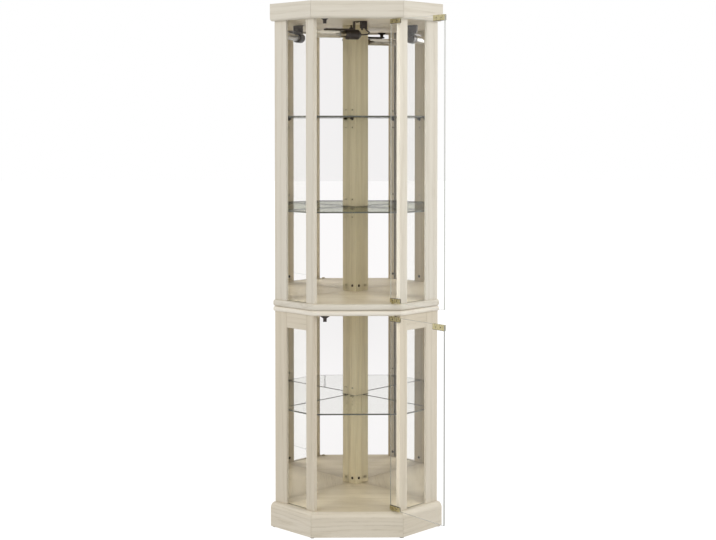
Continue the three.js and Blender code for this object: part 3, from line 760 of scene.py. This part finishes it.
# The doors' edges are painted light and shade: the lower door's edge is painted darker than the
# upper's.
lit_and_shaded_door_edges = {
    "lower": ground_edge("lower_door_edge", (0.22, 0.23, 0.21), (0.32, 0.33, 0.30)),
    "upper": ground_edge("upper_door_edge", (0.44, 0.46, 0.43), (0.58, 0.60, 0.56)),
}
for glass in (shelf_glass, shelf_edge):
    depth = glass.node("VolumeAbsorption")
    glass.feed(depth, Color=SHELF_DEPTH_COLOUR, Density=SHELF_DEPTH_TINT)
    glass.join(depth.outputs["Volume"], glass.output("Volume"))
let_lamps_through(clear_glass, PANE_SHADE)
let_lamps_through(door_glass, PANE_SHADE)
let_lamps_through(shelf_glass, SHELF_SHADE, depth_tint=SHELF_DEPTH_SHADE)
for edge in (shelf_edge, *lit_and_shaded_door_edges.values()):
    let_lamps_through(edge, EDGE_SHADE)

for name in SHELVES:
    glazed(name, "cabinet", Vector((0, 0, 1)), shelf_glass, shelf_edge)
for section in SECTIONS:
    for side, sign in SIDES.items():
        pane_normal = Vector((sign, -1, 0)).normalized()
        glazed(f"{section}_side_pane_{side}", "cabinet", pane_normal, clear_glass, shelf_edge)
door_along = Vector((math.cos(DOOR_OPEN), math.sin(DOOR_OPEN), 0))
door_normal = Vector((-math.sin(DOOR_OPEN), math.cos(DOOR_OPEN), 0))
for section in SECTIONS:
    edge = lit_and_shaded_door_edges[section]
    door = glazed(f"{section}_door_glass", f"{section}_door", door_normal, door_glass, edge)
    door.visible_glossy = False  # a door that stands open shows in no mirror

# Hinge clips, pivot sockets and strike clips are pressed brass, lacquered and a little
# tarnished. Each clip grips the glass through a dark liner, held by grub screws.
DOOR_PIVOT = Vector((0.120756, -0.396722, 0))
BRASS_TONES = [(0.3, (0.40, 0.35, 0.19)), (0.75, (0.60, 0.54, 0.33))]
LINER_TONES = [(0.3, (0.05, 0.04, 0.03)), (0.8, (0.10, 0.08, 0.055))]
CLIP_EASE = 0.0004
CUP_EASE = 0.0003
# Each clip, and whether it grips the glass at its foot or its head.
CLIPS = {"lower_hinge_clip": -1, "upper_hinge_clip": 1, "strike_clip": 1}
SCREW_SHARES = (0.3, 0.72)  # along a clip
LINER_LIP = 0.0014  # how far the liner shows past the brass
LINER_FILM = 0.00025


def dressed(node, suffix, radius, material, body, slot):
    """A node's solid with eased edges and one material."""
    form = planed(node)
    ease(form, radius)
    mesh = finished_mesh(node + suffix, form, material)
    return shown(node + suffix, mesh, body, slot, node)


def door_point(along, across, height):
    """A point of an open door, from its pivot."""
    return DOOR_PIVOT + along * door_along + across * door_normal + Vector((0, 0, height))


def door_reach(node, along):
    """The extent of a door's node along a direction, from its pivot."""
    points = [(v.co - DOOR_PIVOT).dot(along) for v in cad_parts[node].data.vertices]
    return min(points), max(points)


brass = Shading("polished_brass")
rubbing = brass.noise(brass.place(scale=(1, 1, 0.15)), 420.0, detail=3)
brass.tone(rubbing, BRASS_TONES)
brass.shine(rubbing, [(0.3, 0.20), (0.8, 0.36)])
brass.set(Metallic=1.0)
brass.bump(rubbing, 0.06, 0.0002)

liner_vinyl = Shading("liner_vinyl")
liner_grain = liner_vinyl.noise(liner_vinyl.place(), 800.0, detail=2)
liner_vinyl.tone(liner_grain, LINER_TONES)
liner_vinyl.set(Roughness=0.6)

grub_screw = turned_form(
    "grub_screw",
    [
        (0, -0.0002),
        (0.0021, -0.0002),
        (0.0021, 0.0002),
        (0.0017, 0.0005),
        (0.0011, 0.0005),
        (0.0009, 0.0001),
        (0, 0.0001),
    ],
)

for section in SECTIONS:
    body = f"{section}_door"
    inside = door_reach(f"{section}_door_glass", door_normal)[1] + TRIM_GAP
    outside = inside + LINER_FILM
    glass_low, glass_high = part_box(f"{section}_door_glass")
    screws = []
    liner = bmesh.new()
    for part, hung in CLIPS.items():
        node = f"{section}_door_{part}"
        clip = dressed(node, "_brass", CLIP_EASE, brass.material, body, "brass")
        clip.visible_glossy = False
        start, end = door_reach(node, door_along)
        face = door_reach(node, door_normal)[1]
        clip_low, clip_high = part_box(node)
        rim = clip_low.z if hung > 0 else clip_high.z
        edge = glass_high.z if hung > 0 else glass_low.z
        for share in SCREW_SHARES:
            for way in (-1, 1):
                seat = door_point(start + share * (end - start), way * face, (rim + edge) / 2)
                screws.append((seat, way * door_normal))
        lip = LINER_LIP * (part == "strike_clip")
        for way in (-1, 1):
            corners = [
                liner.verts.new(door_point(along, way * across, height))
                for along in (start + LINER_FILM, end + lip)
                for across in (inside, outside)
                for height in (rim - hung * LINER_LIP, edge)
            ]
            bmesh.ops.convex_hull(liner, input=corners)
    bmesh.ops.recalc_face_normals(liner, faces=liner.faces)
    mesh = finished_mesh(f"{section}_clip_liners", liner, liner_vinyl.material, flat=True)
    liners = shown(f"{section}_clip_liners", mesh, body, "black_plastic")
    heads = set_fasteners(
        f"{section}_grub_screws", grub_screw, screws, fastener_bronze, body, "bronzed_steel"
    )
    liners.visible_glossy = heads.visible_glossy = False
    for place in ("bottom", "top"):
        node = f"{section}_pivot_socket_{place}"
        dressed(node, "_brass", CUP_EASE, brass.material, "cabinet", "brass")

# The magnetic catches, the lamp's socket and its switch are moulded in dark plastic. The
# catches and the switch are screwed up to the boards above them.
PLASTIC_TONES = [(0.3, (0.018, 0.011, 0.007)), (0.8, (0.034, 0.023, 0.016))]
MOULD_EASE = 0.0004
dark_plastic = Shading("dark_plastic")
mould = dark_plastic.noise(dark_plastic.place(), 700.0, detail=3)
dark_plastic.tone(mould, PLASTIC_TONES)
dark_plastic.set(Roughness=0.42)
dark_plastic.bump(mould, 0.12, 0.0003)

for node in ("lower_magnetic_catch", "upper_magnetic_catch", "lamp_socket", "lamp_switch"):
    dressed(node, "_moulding", MOULD_EASE, dark_plastic.material, "cabinet", "black_plastic")

# The lamp's shade and leg are one bent steel strip, painted dark bronze. Its long edges are
# folded down, two screws hold its foot to the ceiling and a nut clamps the socket under it.
LAMP_HEART = Vector((0.015, -0.19927, 1.7015))  # the back of the socket, on the bulb's axis
LAMP_TURN = Matrix.Rotation(math.radians(197), 4, "Z")
STRIP_EASE = 0.0003
STRIP_GAUGE = 0.0015
SHADE_RISE = 0.0177  # from the bulb's axis to the underside of the shade
SHADE_REACH = (0.0226, 0.1299)
SHADE_HALF = 0.013
HEM_DEPTH = 0.0042
HEM_GAUGE = 0.0012
CLAMP_ALONG = 0.0335
FOOT_RISE = 0.0443  # to the underside of the foot
FOOT_SCREWS_ALONG = 0.011
FOOT_SCREWS_ASIDE = 0.0065


def lamp_way(along, across, rise):
    return LAMP_TURN @ Vector((along, across, rise))


def lamp_point(along, across, rise):
    """A point of the lamp, from the back of its socket."""
    return LAMP_HEART + lamp_way(along, across, rise)


bronze_paint = bronzed("bronze_paint")
dressed("lamp_bracket", "_strip", STRIP_EASE, bronze_paint, "cabinet", "bronzed_steel")
hems = bmesh.new()
for way in (-1, 1):
    corners = [
        hems.verts.new(lamp_point(along, way * across, rise))
        for along in SHADE_REACH
        for across in (SHADE_HALF - HEM_GAUGE, SHADE_HALF)
        for rise in (SHADE_RISE - HEM_DEPTH, SHADE_RISE)
    ]
    bmesh.ops.convex_hull(hems, input=corners)
ease(hems, STRIP_EASE)
mesh = finished_mesh("lamp_shade_hems", hems, bronze_paint)
shown("lamp_shade_hems", mesh, "cabinet", "bronzed_steel")

clamp_nut = turned_form(
    "clamp_nut",
    [
        (0, 0),
        (0.0062, 0),
        (0.0068, 0.0008),
        (0.0068, 0.0042),
        (0.006, 0.005),
        (0.0032, 0.005),
        (0.0032, 0.0118),
        (0.0026, 0.0125),
        (0, 0.0125),
    ],
    steps=6,
)
nut_seats = [(lamp_point(CLAMP_ALONG, 0, SHADE_RISE + STRIP_GAUGE), (0, 0, 1))]
set_fasteners("lamp_clamp_nut", clamp_nut, nut_seats, bronze_paint, "cabinet", "bronzed_steel")
foot_screw = turned_form(
    "foot_screw",
    [
        (0, -0.0001),
        (0.0042, -0.0001),
        (0.004, 0.0014),
        (0.0028, 0.0024),
        (0.001, 0.0028),
        (0.0009, 0.0014),
        (0, 0.0014),
    ],
)
foot_seats = [
    (lamp_point(FOOT_SCREWS_ALONG, way * FOOT_SCREWS_ASIDE, FOOT_RISE), (0, 0, -1))
    for way in (-1, 1)
]
set_fasteners("lamp_foot_screws", foot_screw, foot_seats, bronze_paint, "cabinet", "bronzed_steel")

# The socket has a raised band at its mouth and a nylon bush for the lead. The switch has a
# bush for it too, and turns by a fluted key underneath.
SOCKET_MOUTH = 0.0445
SOCKET_BUSH = 0.0002
SWITCH_ASIDE = 0.022
SWITCH_FOOT = 0.0208
SWITCH_BUSH_ALONG = -0.013
KEY_ALONG = 0.0015
band_ring = turned_form(
    "band_ring",
    [(0.0172, -0.0035), (0.0181, -0.0032), (0.0181, 0.0032), (0.0172, 0.0035), (0.0172, -0.0035)],
    steps=40,
)
bush = turned_form(
    "bush",
    [(0.0027, 0), (0.0052, 0), (0.0048, 0.0028), (0.0027, 0.0034), (0.0027, 0)],
    steps=20,
)
switch_key = turned_form(
    "switch_key",
    [
        (0, 0),
        (0.0042, 0),
        (0.0042, 0.0008),
        (0.003, 0.0012),
        (0.0034, 0.0062),
        (0.0028, 0.0068),
        (0, 0.0068),
    ],
    steps=14,
)
under_switch = SWITCH_FOOT - TRIM_GAP
for name, form, place, way in (
    ("socket_band", band_ring, (SOCKET_MOUTH, 0, 0), (1, 0, 0)),
    ("lead_bush", bush, (SOCKET_BUSH, 0, 0), (-1, 0, 0)),
    ("switch_bush", bush, (SWITCH_BUSH_ALONG, SWITCH_ASIDE, under_switch), (0, 0, -1)),
    ("switch_key", switch_key, (KEY_ALONG, SWITCH_ASIDE, under_switch), (0, 0, -1)),
):
    seats = [(lamp_point(*place), lamp_way(*way))]
    set_fasteners(name, form, seats, dark_plastic.material, "cabinet", "black_plastic")

# The lamp's lead is a stiff round cable. It leaves the back of the socket, swings out behind
# it and climbs into the switch.
LEAD_GAP = 0.0003  # at both of its ends
LEAD_LOOP = 0.026
LEAD_CLIMB = 0.0205
# Shares of the loop's reach, of the switch's distance aside, and of the climb to it.
LEAD_SHARES = [
    (0, 0, 0),
    (0.5, 0, 0),
    (0.95, 0.3, 0.1),
    (1, 0.8, 0.35),
    (0.65, 1, 0.6),
    (0.5, 1, 0.78),
    (0.5, 1, 1),
]
LEAD_SPAN_STEPS = 6


def through(before, start, end, after, share):
    """A point between start and end, on a centripetal curve through all four."""
    spans = [(b - a).length ** 0.5 for a, b in ((before, start), (start, end), (end, after))]
    first, span, last = spans
    leave = (start - before) / first - (end - before) / (first + span) + (end - start) / span
    reach = (end - start) / span - (after - start) / (span + last) + (after - end) / last
    leave, reach = leave * span, reach * span
    square = 3 * (end - start) - 2 * leave - reach
    cube = 2 * (start - end) + leave + reach
    return start + leave * share + square * share**2 + cube * share**3


route = [
    Vector((-LEAD_GAP - back * LEAD_LOOP, aside * SWITCH_ASIDE, climb * LEAD_CLIMB))
    for back, aside, climb in LEAD_SHARES
]
stretched = [2 * route[0] - route[1], *route, 2 * route[-1] - route[-2]]
lead_path = [
    lamp_point(*through(*stretched[i : i + 4], step / LEAD_SPAN_STEPS))
    for i in range(len(route) - 1)
    for step in range(LEAD_SPAN_STEPS)
]
lead_path.append(lamp_point(*route[-1]))
lead = dressed(
    "lamp_lead", "_cable", MOULD_EASE, dark_plastic.material, "cabinet", "black_plastic"
)

# The bulb is a clear glass tube with a brass cap, pushed into the socket. A stem of thin
# wires carries its filament.
TUBE_TONES = [(0.3, (0.80, 0.76, 0.66)), (0.8, (0.68, 0.63, 0.52))]
CAP_TONES = [(0.3, (0.20, 0.165, 0.11)), (0.8, (0.34, 0.29, 0.20))]
CAP_END = 0.0735
STEM_FOOT = 0.0738
bulb_glass = Shading("bulb_glass")
bulb_glass.set(Transmission_Weight=0.75, IOR=1.45)
haze = bulb_glass.noise(bulb_glass.place(), 60.0, detail=2)
bulb_glass.tone(haze, TUBE_TONES)
bulb_glass.shine(haze, [(0.3, 0.05), (0.8, 0.14)])
cap_brass = Shading("cap_brass")
cap_wear = cap_brass.noise(cap_brass.place(), 300.0, detail=3)
cap_brass.tone(cap_wear, CAP_TONES)
cap_brass.set(Metallic=1.0, Roughness=0.35)

tube = planed("lamp_bulb")
bulb_way = lamp_way(1, 0, 0)
for face in tube.faces:
    reach = (face.calc_center_median() - LAMP_HEART).dot(bulb_way)
    face.material_index = int(reach < CAP_END)
mesh = finished_mesh("lamp_bulb_tube", tube, bulb_glass.material, cap_brass.material)
shown("lamp_bulb_tube", mesh, "cabinet", "lamp_glass", "lamp_bulb")
stem = turned_form(
    "stem",
    [(0, 0), (0.0035, 0), (0.0028, 0.016), (0.0009, 0.02), (0.0009, 0.094), (0, 0.0945)],
)
stem_seats = [(lamp_point(STEM_FOOT, 0, 0), bulb_way)]
set_fasteners("bulb_stem", stem, stem_seats, cap_brass.material, "cabinet", "brass")

# Five moulded nylon glides, pushed in from below, keep the plinth's corners and the rear
# corner off the floor.
NYLON_TONES = [(0.3, (0.05, 0.045, 0.04)), (0.8, (0.10, 0.09, 0.08))]
GLIDE_EASE = 0.0003
nylon = Shading("glide_nylon")
scuffs = nylon.noise(nylon.place(), 350.0, detail=3)
nylon.tone(scuffs, NYLON_TONES)
nylon.set(Roughness=0.55)
for place in ("rear", "front_left", "front_right", "side_left", "side_right"):
    dressed(f"glide_{place}", "_button", GLIDE_EASE, nylon.material, "cabinet", "glide_nylon")
